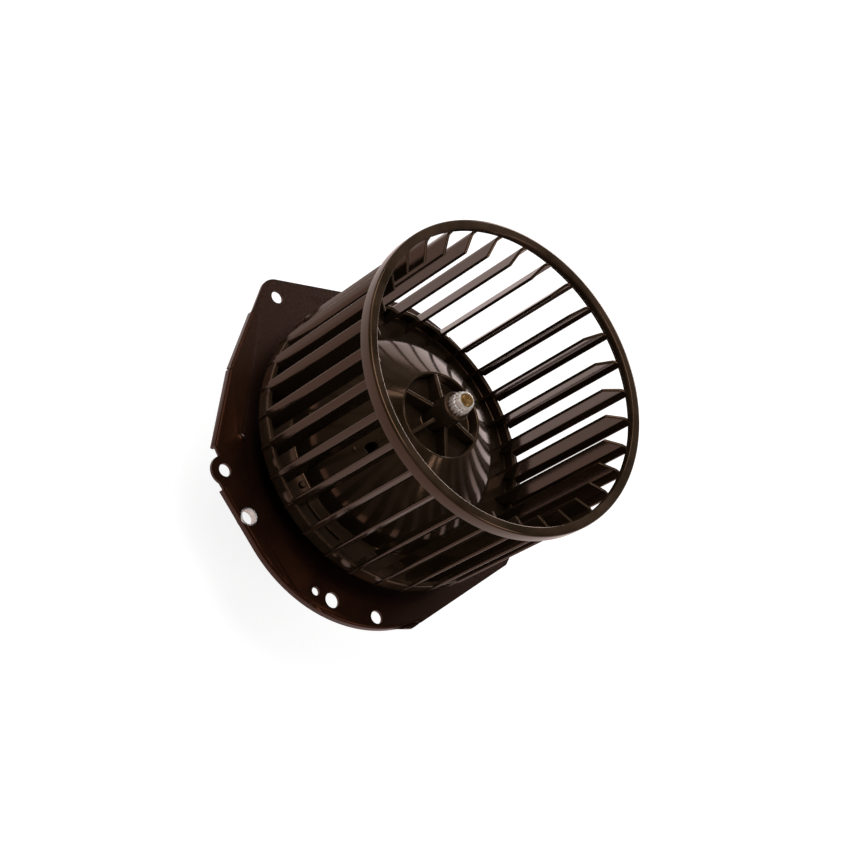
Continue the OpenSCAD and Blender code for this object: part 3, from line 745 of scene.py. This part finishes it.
@dataclass
class FanWheel:
    """The squirrel-cage wheel, moulded in one piece. Sizes are in millimetres, heights from the flange."""

    palette: Palette
    back: float = 9.0
    front: float = 106.4
    ring_r: float = 76.0
    ring_face_w: float = 4.6
    ring_face_t: float = 3.8
    rim_h: float = 7.2
    rim_t: float = 2.0
    back_ring_r: float = 72.0
    back_ring_t: float = 2.4
    back_ring_h: float = 8.0
    blade_count: int = 31
    blade_first_deg: float = 8.68
    blade_t: float = 1.5
    blade_lean_deg: float = 13.6
    blade_tip_deg: float = 60.0
    blade_bend_at: float = 70.9
    blade_bend_r: float = 2.2
    blade_in_r: float = 63.4
    blade_out_r: float = 72.9
    blade_foot_r: float = 72.35
    chamfer_h: float = 6.5
    blade_edge_r: float = 0.5
    web_t: float = 2.2
    rim_r: float = 21.7
    dome_h: float = 44.7
    slope_deg: float = 42.4
    knee_r: float = 42.0
    roll_r: float = 40.0
    foot_deg: float = 10.0
    recess_depth: float = 6.2
    recess_rim_w: float = 1.2
    boss_r: float = 7.0
    boss_rise: float = 12.4
    boss_drop: float = 4.0
    bore_r: float = 3.225
    rib_count: int = 6
    rib_t: float = 2.0
    rib_rise: float = 3.7
    vent_r: float = 2.5
    vent_at: Pair = (-35.8, 3.5)
    mark_h: float = 1.2
    sink: float = 0.3
    balance_rib_at: float = 61.2
    balance_rib_t: float = 1.4
    balance_rib_deg: float = 183.5
    balance_rib_sweep: float = 21.0
    web_pip_at: float = 58.5
    web_pip_r: float = 1.8
    web_pip_deg: float = 175.2
    dome_pip_at: float = 41.4
    dome_pip_deg: float = 170.5
    dome_pip_half: Triple = (0.9, 1.6, 1.1)

    @property
    def ring_in_r(self) -> float:
        """Inner radius of the front ring's face."""
        return self.ring_r - self.ring_face_w

    @property
    def ring_under(self) -> float:
        """Height of the underside of the front ring's face."""
        return self.front - self.ring_face_t

    @property
    def web_top(self) -> float:
        """Height of the web's upper face."""
        return self.back + self.web_t

    @property
    def rim_z(self) -> float:
        """Height of the dome's rim."""
        return self.back + self.dome_h

    @property
    def recess_z(self) -> float:
        """Height of the recess's floor."""
        return self.rim_z - self.recess_depth

    def build(self) -> None:
        """Builds the wheel's pieces, and hides the solids that they stand for."""
        for piece in (self.hub(), self.star(), self.marks()):
            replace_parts(piece, "wheel_hub")
        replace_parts(self.front_ring(), "wheel_front_ring")
        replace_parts(self.blades(), "wheel_blades")

    def moulded(self, shell: Shell, name: str) -> bpy.types.Object:
        """Makes a shell a piece of the wheel.

        Args:
            shell: The shell.
            name: The piece's name.

        Returns:
            The piece.
        """
        return shell.piece(name, Body.ROTOR, "wheel_moulding", self.palette)

    def roll_over(self, depth: float) -> tuple[np.ndarray, np.ndarray]:
        """Finds the corner that the dome's roll-over rounds off, and the foot below it.

        The cone leaves the roll-over circle at the slope's normal n1, and the foot leaves it at n2. The two
        tangents meet at centre + r / cos((n1 - n2) / 2) along the middle direction.

        Args:
            depth: How far inside the dome's outer surface.

        Returns:
            The corner and the foot, as radius and height.
        """
        slope, foot = np.radians(self.slope_deg), np.radians(self.foot_deg)
        knee_z = self.rim_z - (self.knee_r - self.rim_r) * np.tan(slope)
        centre = np.array([self.knee_r - self.roll_r * np.sin(slope), knee_z - self.roll_r * np.cos(slope)])
        radius = self.roll_r - depth
        cone_way = np.pi / 2 - slope
        middle = (cone_way + foot) / 2
        corner = centre + radius / np.cos((cone_way - foot) / 2) * np.array([np.cos(middle), np.sin(middle)])
        left = centre + radius * np.array([np.cos(foot), np.sin(foot)])
        floor = self.back if depth else self.web_top
        drop = left[1] - floor
        return corner, np.array([left[0] + drop * np.tan(foot), floor])

    def hub(self) -> bpy.types.Object:
        """Builds the web, back ring, dome, recess and boss as one turned surface, and cuts the vent.

        Returns:
            The piece.
        """
        outer, foot = self.roll_over(0.0)
        inner, inner_foot = self.roll_over(self.web_t)
        slope = np.radians(self.slope_deg)
        recess_r = self.rim_r - self.recess_rim_w
        wall_r = recess_r + self.web_t
        drop = self.web_t / np.cos(slope)
        wall_z = self.rim_z + (self.rim_r - wall_r) * np.tan(slope) - drop
        ring_in = self.back_ring_r - self.back_ring_t
        ring_top = self.back + self.back_ring_h
        boss_top = self.rim_z + self.boss_rise
        boss_bottom = self.recess_z - self.web_t - self.boss_drop
        outline, edge = rounded(
            [
                [self.bore_r, boss_top, 0.3],
                [self.boss_r, boss_top, 0.6],
                [self.boss_r, self.recess_z, 0.9],
                [recess_r, self.recess_z, 0.7],
                [recess_r, self.rim_z, 0.6],
                [self.rim_r, self.rim_z, 0.5],
                [outer[0], outer[1], self.roll_r],
                [foot[0], foot[1], 1.0],
                [ring_in, self.web_top, 0.8],
                [ring_in, ring_top, 0.5],
                [self.back_ring_r, ring_top, 0.6],
                [self.back_ring_r, self.back, 0.5],
                [inner_foot[0], inner_foot[1], 0.4],
                [inner[0], inner[1], self.roll_r - self.web_t],
                [wall_r, wall_z, 0.5],
                [wall_r, self.recess_z - self.web_t, 0.4],
                [self.boss_r, self.recess_z - self.web_t, 0.8],
                [self.boss_r, boss_bottom, 0.4],
                [self.bore_r, boss_bottom, 0.3],
            ],
            steps=7,
        )
        piece = self.moulded(revolved(outline, edge, 256), "moulded_hub")
        self.cut_vent(piece)
        return piece

    def cut_vent(self, piece: bpy.types.Object) -> None:
        """Cuts the small vent down through the dome's skin.

        Args:
            piece: The hub.
        """
        turn = np.linspace(0, 2 * np.pi, 33)[:-1]
        ends = np.array([self.web_top + 1, self.rim_z])
        rows = polar(self.vent_r, turn, ends[:, None]) + [*self.vent_at, 0.0]
        drill = self.moulded(lofted(rows, np.zeros(rows.shape[:2])), "vent_drill")
        cut = piece.modifiers.new("vent", "BOOLEAN")
        cut.operation = "DIFFERENCE"
        cut.solver = "EXACT"
        cut.object = drill
        done = bpy.data.meshes.new_from_object(piece.evaluated_get(bpy.context.evaluated_depsgraph_get()))
        piece.modifiers.clear()
        piece.data = done
        done.shade_smooth()
        done.set_sharp_from_angle(angle=np.radians(SHARP_DEG))
        bpy.data.objects.remove(drill)

    def star(self) -> bpy.types.Object:
        """Builds the star of ribs in the recess: a rounded section carried outwards under a sloping top.

        Returns:
            The piece.
        """
        recess_r = self.rim_r - self.recess_rim_w
        overlap, rim_drop = 0.15, 0.2
        reach = np.linspace(self.bore_r + 1, recess_r + overlap, 12)
        top = self.rim_z - rim_drop + self.rib_rise * (1 - reach / recess_r)
        low = self.recess_z - self.sink
        half = self.rib_t / 2
        section, edge = rounded([[-half, 0, 0.1], [-half, 1, 0.35], [half, 1, 0.35], [half, 0, 0.1]], steps=4)
        across, share = section.T
        lift = np.where(share > 0.5, share - 1, 0)
        height = np.where(share > 0.5, top[:, None] + lift, low + share)
        rows = stacked(reach[:, None], across, height)
        rib = lofted(rows, np.tile(edge, (len(reach), 1)))
        star = rib.turned(np.arange(self.rib_count) * 360 / self.rib_count)
        return self.moulded(star, "moulded_star_ribs")

    def front_ring(self) -> bpy.types.Object:
        """Builds the front ring: a flat face with a rim turned back round the blades' ends.

        Returns:
            The piece.
        """
        rim_in = self.ring_r - self.rim_t
        rim_low = self.front - self.rim_h
        outline, edge = rounded(
            [
                [self.ring_in_r, self.ring_under, 0.35],
                [self.ring_in_r, self.front, 0.7],
                [self.ring_r, self.front, 1.4],
                [self.ring_r, rim_low, 0.5],
                [rim_in, rim_low, 0.4],
                [rim_in, self.ring_under, 0.6],
            ],
            steps=7,
        )
        return self.moulded(revolved(outline, edge, 384), "moulded_front_ring")

    def middle_line(self) -> tuple[np.ndarray, np.ndarray, np.ndarray, np.ndarray]:
        """Lays out the middle of a blade's section: an inner run, a bend and an outer run.

        The inner run leaves (a, 0) at the lean angle e from the radius and would reach the distance R after
        -m + sqrt(m^2 - a^2 + R^2), with m = a cos e. The bend of radius q touches it q tan(turn / 2) earlier.
        The heading falls from -e by 1 / q for each millimetre of the bend, and the line is its running sum.

        Returns:
            Distance along the line, x, y and heading.
        """
        lean, tip = np.radians([self.blade_lean_deg, self.blade_tip_deg])
        ahead = self.blade_in_r * np.cos(lean)
        corner = np.sqrt(ahead**2 - self.blade_in_r**2 + self.blade_bend_at**2) - ahead
        begin = corner - self.blade_bend_r * np.tan((tip - lean) / 2)
        step, length = 0.05, 16.0
        along = np.arange(0, length, step)
        heading = -lean - np.clip((along - begin) / self.blade_bend_r, 0, tip - lean)
        x = self.blade_in_r + np.concatenate([[0], np.cumsum(np.cos(heading[:-1]))]) * step
        y = np.concatenate([[0], np.cumsum(np.sin(heading[:-1]))]) * step
        return along, x, y, heading

    def blades(self) -> bpy.types.Object:
        """Builds the blades: a rounded strip along the middle line, carried up to the front ring.

        At height z the strip runs from the inner radius, which the chamfer draws outwards near the ring, to
        the outer radius, which is smaller beside the back ring. A point at distance s along it and d across
        it lies at (x(s) - d sin h(s), y(s) + d cos h(s)) for the heading h.

        Returns:
            The piece.
        """
        foot_gap, overlap, blend = 0.4, 0.2, 0.3
        low, high = self.back + foot_gap, self.ring_under + overlap
        chamfer_z = self.ring_under - self.chamfer_h
        ledge_z = self.back + self.back_ring_h
        heights = np.unique(
            np.concatenate(
                [
                    [low, ledge_z - blend, ledge_z, ledge_z + blend],
                    np.linspace(ledge_z + 1, chamfer_z - 0.4, 8),
                    np.linspace(chamfer_z - 0.2, chamfer_z + 0.4, 4),
                    np.linspace(chamfer_z + 0.5, high, 10),
                ]
            )
        )
        rise = np.clip((heights - chamfer_z) / self.chamfer_h, 0, 1)
        inner = self.blade_in_r + rise * (self.ring_in_r - self.blade_in_r)
        step = np.clip((heights - ledge_z) / blend, 0, 1)
        outer = self.blade_foot_r + step * (self.blade_out_r - self.blade_foot_r)
        along, x, y, heading = self.middle_line()
        far = np.hypot(x, y)
        start, stop = np.interp(inner, far, along), np.interp(outer, far, along)
        section, edge = self.strip_section()
        at = start[:, None] + section[:, 0] + section[:, 1] * (stop - start)[:, None]
        way = np.interp(at, along, heading)
        rows = stacked(
            np.interp(at, along, x) - section[:, 2] * np.sin(way),
            np.interp(at, along, y) + section[:, 2] * np.cos(way),
            heights[:, None],
        )
        blade = lofted(rows, np.tile(edge, (len(heights), 1)))
        angles = self.blade_first_deg + np.arange(self.blade_count) * 360 / self.blade_count
        return self.moulded(blade.turned(angles), "moulded_blades")

    def strip_section(self) -> tuple[np.ndarray, np.ndarray]:
        """Gives the strip's rounded section so that its length can change with height.

        Returns:
            For each point an offset from an end, the share of the length that is added, and the distance
            across; and how near each point is to an edge.
        """
        half, round_r, length = self.blade_t / 2, self.blade_edge_r, 10.0
        box, edge = rounded(
            [[0.0, -half, round_r], [0.0, half, round_r], [length, half, round_r], [length, -half, round_r]],
            steps=4,
        )
        far = box[:, 0] > length / 2
        ends = np.column_stack([np.where(far, box[:, 0] - length, box[:, 0]), far.astype(float), box[:, 1]])
        share = np.linspace(0.03, 0.97, 20)
        face = np.column_stack([round_r * (1 - 2 * share), share, np.full(len(share), half)])
        back_face = face[::-1] * [1.0, 1.0, -1.0]
        near_count = int(np.count_nonzero(~far))
        section = np.concatenate([ends[:near_count], face, ends[near_count:], back_face])
        none = np.zeros(len(share))
        return section, np.concatenate([edge[:near_count], none, edge[near_count:], none])

    def marks(self) -> bpy.types.Object:
        """Builds the short balance rib and the round pip on the web, and the small pip on the dome.

        Returns:
            The piece.
        """
        low, high = self.web_top - self.sink, self.web_top + self.mark_h
        inner = self.balance_rib_at - self.balance_rib_t / 2
        outer = self.balance_rib_at + self.balance_rib_t / 2
        outline, edge = rounded(
            [[inner, low, 0.1], [inner, high, 0.66], [outer, high, 0.66], [outer, low, 0.1]], steps=6
        )
        rib = revolved(outline, edge, 24, self.balance_rib_deg, self.balance_rib_sweep)
        crown, crown_low = 0.5, 0.8
        share = np.linspace(0, 1, 10)
        side = self.web_pip_r - crown + crown * np.cos(share * np.pi / 2)
        radius = np.concatenate([np.full(2, self.web_pip_r), side])
        height = np.concatenate([[low, high - crown_low], high - crown + crown * np.sin(share * np.pi / 2)])
        turn = np.linspace(0, 2 * np.pi, 41)[:-1]
        rows = polar(radius[:, None], turn, height[:, None])
        rows = rows + polar(self.web_pip_at, np.radians(self.web_pip_deg), 0.0)
        pip = lofted(rows, np.zeros(rows.shape[:2]))
        return self.moulded(rib.joined(pip).joined(self.dome_pip()), "moulded_balance_marks")

    def dome_pip(self) -> Shell:
        """Builds the small egg-shaped pip on the dome's shoulder.

        A point at latitude u and longitude v is c + a1 cos u cos v e1 + a2 cos u sin v e2 + a3 sin u e3, with
        half axes a1, a2 and a3, e1 down the slope, e2 round the axis and e3 the slope's normal.

        Returns:
            The pip.
        """
        way, slope = np.radians([self.dome_pip_deg, self.slope_deg])
        round_way = np.array([-np.sin(way), np.cos(way), 0.0])
        normal = polar(np.sin(slope), way, np.cos(slope))
        down = np.cross(round_way, normal)
        height = self.rim_z - (self.dome_pip_at - self.rim_r) * np.tan(slope)
        latitude = np.radians(np.linspace(-85, 85, 18))[:, None, None]
        longitude = np.linspace(0, 2 * np.pi, 33)[:-1, None]
        along, across, up = self.dome_pip_half
        rows = (
            polar(self.dome_pip_at, way, height)
            + along * np.cos(latitude) * np.cos(longitude) * down
            + across * np.cos(latitude) * np.sin(longitude) * round_way
            + up * np.sin(latitude) * normal
        )
        return lofted(rows, np.zeros(rows.shape[:2]))


@dataclass
class ShaftEnd:
    """The shaft and the toothed spring clip that holds the wheel on it. Sizes are in millimetres."""

    palette: Palette
    shaft_r: float = 3.175
    shaft_low: float = -51.0
    shaft_top: float = 75.0
    clip_low: float = 66.1
    clip_h: float = 7.5
    clip_r: float = 4.8
    collar_r: float = 5.3
    teeth: int = 16
    tooth_depth: float = 0.5
    chamfer: float = 0.6
    centre_r: float = 0.75
    centre_depth: float = 0.9

    def build(self) -> None:
        """Builds the shaft and the clip, and hides the solids that they stand for."""
        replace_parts(self.shaft(), "shaft")
        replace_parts(self.clip(), "wheel_clip")

    def shaft(self) -> bpy.types.Object:
        """Builds the ground shaft with a chamfer at each end and a shallow centre hole in its tip.

        Returns:
            The piece.
        """
        outline, edge = rounded(
            [
                [0.02, self.shaft_top - self.centre_depth, 0.01],
                [self.centre_r, self.shaft_top, 0.1],
                [self.shaft_r - self.chamfer, self.shaft_top, 0.12],
                [self.shaft_r, self.shaft_top - self.chamfer, 0.12],
                [self.shaft_r, self.shaft_low + self.chamfer, 0.12],
                [self.shaft_r - self.chamfer, self.shaft_low, 0.12],
                [0.02, self.shaft_low, 0.01],
            ],
            steps=3,
        )
        shaft = revolved(outline, edge, 72)
        return shaft.piece("turned_shaft", Body.ROTOR, "plated_shaft", self.palette)

    def clip(self) -> bpy.types.Object:
        """Builds the clip: a collar whose side is notched into teeth.

        At angle a the side is drawn in by depth * n(a), where n is 1 in a notch and 0 on a tooth:
        n = clip(0.5 - 1.6 cos(teeth * a), 0, 1). Only points outside the bore's wall are drawn in.

        Returns:
            The piece.
        """
        collar_share, clearance, nose_w, nose_h = 0.6, 0.05, 0.5, 1.6
        step_z = self.clip_low + self.clip_h * collar_share
        top = self.clip_low + self.clip_h
        bore = self.shaft_r + clearance
        outline, edge = rounded(
            [
                [bore, self.clip_low, 0.1],
                [bore, top, 0.2],
                [self.clip_r - nose_w, top, 0.3],
                [self.clip_r, top - nose_h, 0.3],
                [self.clip_r, step_z, 0.15],
                [self.collar_r, step_z, 0.2],
                [self.collar_r, self.clip_low, 0.2],
            ],
            steps=4,
        )
        count = self.teeth * 14
        angle = np.linspace(0, 2 * np.pi, count + 1)[:-1]
        notch = np.clip(0.5 - 1.6 * np.cos(self.teeth * angle), 0, 1)
        wall_r, blend = 4.1, 0.5
        outer = np.clip((outline[:, 0] - wall_r) / blend, 0, 1)
        radius = outline[:, 0] - self.tooth_depth * outer * notch[:, None]
        rows = polar(radius, angle[:, None], outline[:, 1])
        worn = np.broadcast_to(edge, radius.shape)
        return lofted(rows, worn, ring=True).piece("toothed_clip", Body.ROTOR, "spring_steel", self.palette)


@dataclass
class Eyelet:
    """The rolled eyelet that lines the flange's locating hole. Sizes are in millimetres."""

    palette: Palette
    at: Pair = (-85.25, 4.6)
    bore_r: float = 3.75
    out_r: float = 4.45
    depth: float = 4.9

    def build(self) -> None:
        """Builds the eyelet: a thin tube whose two lips are rounded."""
        outline, edge = rounded(
            [
                [self.bore_r, -self.depth, 0.25],
                [self.bore_r, 0.0, 0.3],
                [self.out_r, 0.0, 0.25],
                [self.out_r, -self.depth, 0.25],
            ],
            steps=5,
        )
        tube = revolved(outline, edge, 72)
        tube.points = tube.points + [*self.at, 0.0]
        piece = tube.piece("rolled_eyelet", Body.MOTOR, "bright_zinc", self.palette)
        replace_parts(piece, "flange_eyelet")


@dataclass
class RefinedSolids:
    """Copies of the solids whose shape is right, with welded points, small edge radii and smooth shading."""

    palette: Palette
    nodes: dict[str, bpy.types.Object]
    slots: dict[str, str]
    weld_m: float = 2e-6
    flat_deg: float = 0.4
    sharp_deg: float = 30.0
    plain_radius: float = 0.12
    standing: tuple[str, ...] = (
        "mounting_flange", "motor_can", "flange_rivets", "rear_end_cap", "cap_screws", "front_bearing",
        "rear_bearing", "front_bearing_cup", "rear_bearing_retainer", "left_magnet", "right_magnet",
        "magnet_springs", "brush_card", "brush_holders", "carbon_brushes", "brush_springs",
        "terminal_block", "power_terminal", "ground_terminal",
    )
    turning: tuple[str, ...] = ("armature_core", "armature_windings", "commutator", "thrust_washers")
    edge_radius: dict[str, float] = field(
        default_factory=lambda: {
            "mounting_flange": 0.25, "motor_can": 0.2, "rear_end_cap": 0.2, "flange_rivets": 0.5,
            "cap_screws": 0.4, "terminal_block": 0.4, "brush_card": 0.1, "left_magnet": 0.5,
            "right_magnet": 0.5, "armature_windings": 1.5,
        }
    )

    def build(self) -> None:
        """Builds a copy for each node."""
        for body, names in ((Body.MOTOR, self.standing), (Body.ROTOR, self.turning)):
            for name in names:
                self.copy(name, body)

    def copy(self, name: str, body: Body) -> None:
        """Copies one node's mesh, welds its points and rounds its edges.

        Args:
            name: The node.
            body: The body that carries it.
        """
        mesh = self.nodes[name].data.copy()
        mesh.name = f"dressed_{name}"
        work = bmesh.new()
        work.from_mesh(mesh)
        bmesh.ops.remove_doubles(work, verts=work.verts, dist=self.weld_m)
        bmesh.ops.dissolve_limit(
            work, angle_limit=np.radians(self.flat_deg), verts=work.verts, edges=work.edges, delimit=set()
        )
        work.to_mesh(mesh)
        work.free()
        slot = self.slots[name]
        mesh.materials.clear()
        mesh.materials.append(self.palette.material(slot))
        mesh.shade_smooth()
        mesh.set_sharp_from_angle(angle=np.radians(self.sharp_deg))
        piece = placed(mesh.name, mesh)
        bevel = piece.modifiers.new("edge_radius", "BEVEL")
        bevel.width = self.edge_radius.get(name, self.plain_radius) * MM
        bevel.segments = 2
        bevel.limit_method = "ANGLE"
        bevel.angle_limit = np.radians(self.sharp_deg)
        bevel.harden_normals = True
        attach(piece, body.value)
        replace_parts(piece, name)
        log.info("piece %s: %d faces", piece.name, len(mesh.polygons))


@dataclass
class Studio:
    """Floor, lamps, surroundings and camera. Lengths are in metres."""

    floor_z: float = -0.054
    floor_half: float = 4.0
    camera_at: Triple = (-0.7279, -0.0001, 0.8465)
    camera_right: Triple = (0.63964, -0.50724, 0.57755)
    camera_up: Triple = (0.37648, 0.86180, 0.33993)
    camera_back: Triple = (-0.67016, 0.0, 0.74221)
    lens_mm: float = 98.15
    sensor_mm: float = 36.0
    sky: float = 0.12
    floor_grey: float = 0.4
    floor_glow: float = 0.86
    floor_shine: float = 0.7
    shine_colour: str = "#ffe0d9"
    lamp_aim: Triple = (0.0, 0.0, 0.03)
    lamps: tuple[tuple[str, Triple, float, float], ...] = (
        ("top_panel", (0.0, 0.35, 1.55), 0.8, 9.0),
        ("side_panel", (0.2, 1.3, 1.1), 0.7, 5.0),
        ("fill_panel", (-0.1, -1.3, 1.15), 0.6, 5.0),
        ("rim_panel", (1.5, 0.2, 0.35), 0.9, 18.0),
    )

    def build(self) -> None:
        """Builds the stage round the part."""
        self.floor()
        self.surroundings()
        for lamp in self.lamps:
            self.lamp(*lamp)
        self.camera()
        bpy.context.scene.view_settings.view_transform = "Standard"

    def floor(self) -> None:
        """Builds the pale floor: white to the camera, pale in gloss, and with a faint shadow."""
        s, z = self.floor_half, self.floor_z
        mesh = bpy.data.meshes.new("floor")
        mesh.from_pydata([(-s, -s, z), (s, -s, z), (s, s, z), (-s, s, z)], [], [(0, 1, 2, 3)])
        material = bpy.data.materials.new("pale_floor")
        material.use_nodes = True
        tree = material.node_tree
        tree.nodes.clear()
        path = add_node(tree, "ShaderNodeLightPath")
        seen = add_node(
            tree, "ShaderNodeMath", {"operation": "ADD", "use_clamp": True},
            {0: path.outputs["Is Camera Ray"], 1: path.outputs["Is Transmission Ray"]},
        ).outputs[0]
        glow = add_node(
            tree, "ShaderNodeMath", {"operation": "MULTIPLY"}, {0: seen, 1: self.floor_glow}
        ).outputs[0]
        shine = add_node(
            tree, "ShaderNodeMath", {"operation": "MULTIPLY"},
            {0: path.outputs["Is Glossy Ray"], 1: self.floor_shine},
        ).outputs[0]
        grey = (self.floor_grey, self.floor_grey, self.floor_grey, 1.0)
        matt = add_node(tree, "ShaderNodeBsdfDiffuse", None, {"Color": grey}).outputs[0]
        light = add_node(tree, "ShaderNodeEmission", None, {"Strength": glow}).outputs[0]
        sheen = add_node(
            tree, "ShaderNodeEmission", None, {"Color": linear(self.shine_colour), "Strength": shine}
        ).outputs[0]
        lit = add_node(tree, "ShaderNodeAddShader", None, {0: matt, 1: light}).outputs[0]
        whole = add_node(tree, "ShaderNodeAddShader", None, {0: lit, 1: sheen}).outputs[0]
        add_node(tree, "ShaderNodeOutputMaterial", None, {"Surface": whole})
        mesh.materials.append(material)
        placed("floor", mesh)

    def surroundings(self) -> None:
        """Sets the even pale light that comes from all round."""
        world = bpy.data.worlds.new("studio")
        bpy.context.scene.world = world
        world.use_nodes = True
        background = world.node_tree.nodes["Background"]
        background.inputs["Color"].default_value = (1.0, 1.0, 1.0, 1.0)
        background.inputs["Strength"].default_value = self.sky

    def lamp(self, name: str, at: Triple, size: float, power: float) -> None:
        """Adds a soft square lamp that faces the part.

        Args:
            name: The lamp's name.
            at: Where it hangs.
            size: Its width.
            power: Its power in watts.
        """
        light = bpy.data.lights.new(name, "AREA")
        light.size = size
        light.energy = power
        placed(name, light).matrix_world = facing(at, self.lamp_aim)

    def camera(self) -> None:
        """Places the camera that was solved from the photograph's view."""
        lens = bpy.data.cameras.new("camera")
        lens.lens = self.lens_mm
        lens.sensor_width = self.sensor_mm
        lens.clip_start = 0.01
        camera = placed("camera", lens)
        camera.matrix_world = pose(self.camera_right, self.camera_up, self.camera_back, self.camera_at)
        bpy.context.scene.camera = camera


def pose(*columns: Triple | np.ndarray) -> Matrix:
    """Gives an object's place from its axes.

    Args:
        columns: Its X, Y and Z axes and its origin.

    Returns:
        The object's matrix.
    """
    return Matrix(np.vstack([np.column_stack(columns), [0, 0, 0, 1]]).tolist())


def facing(at: Triple, to: Triple) -> Matrix:
    """Gives the place of a lamp that looks from one point to another.

    Args:
        at: Where the lamp is.
        to: What it looks at.

    Returns:
        The lamp's matrix, with its -Z axis towards the target.
    """
    back = np.subtract(at, to)
    back = back / np.linalg.norm(back)
    right = np.cross([0.0, 0.0, 1.0], back)
    right = right / np.linalg.norm(right)
    return pose(right, np.cross(back, right), back, at)


def node_slots(record: dict[str, Any]) -> dict[str, str]:
    """Reads which material slot each node has.

    Args:
        record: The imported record.

    Returns:
        Slot by node.
    """
    return {part["node"]: part["material_slot"] for part in record["subparts"]}


def main() -> None:
    """Builds every part of the scene in order."""
    logging.basicConfig(level=logging.INFO, format="%(name)s: %(message)s")
    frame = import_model()
    palette = Palette()
    FanWheel(palette).build()
    ShaftEnd(palette).build()
    Eyelet(palette).build()
    RefinedSolids(palette, frame["nodes"], node_slots(frame["record"])).build()
    Studio().build()


if __name__ == "__main__":
    main()
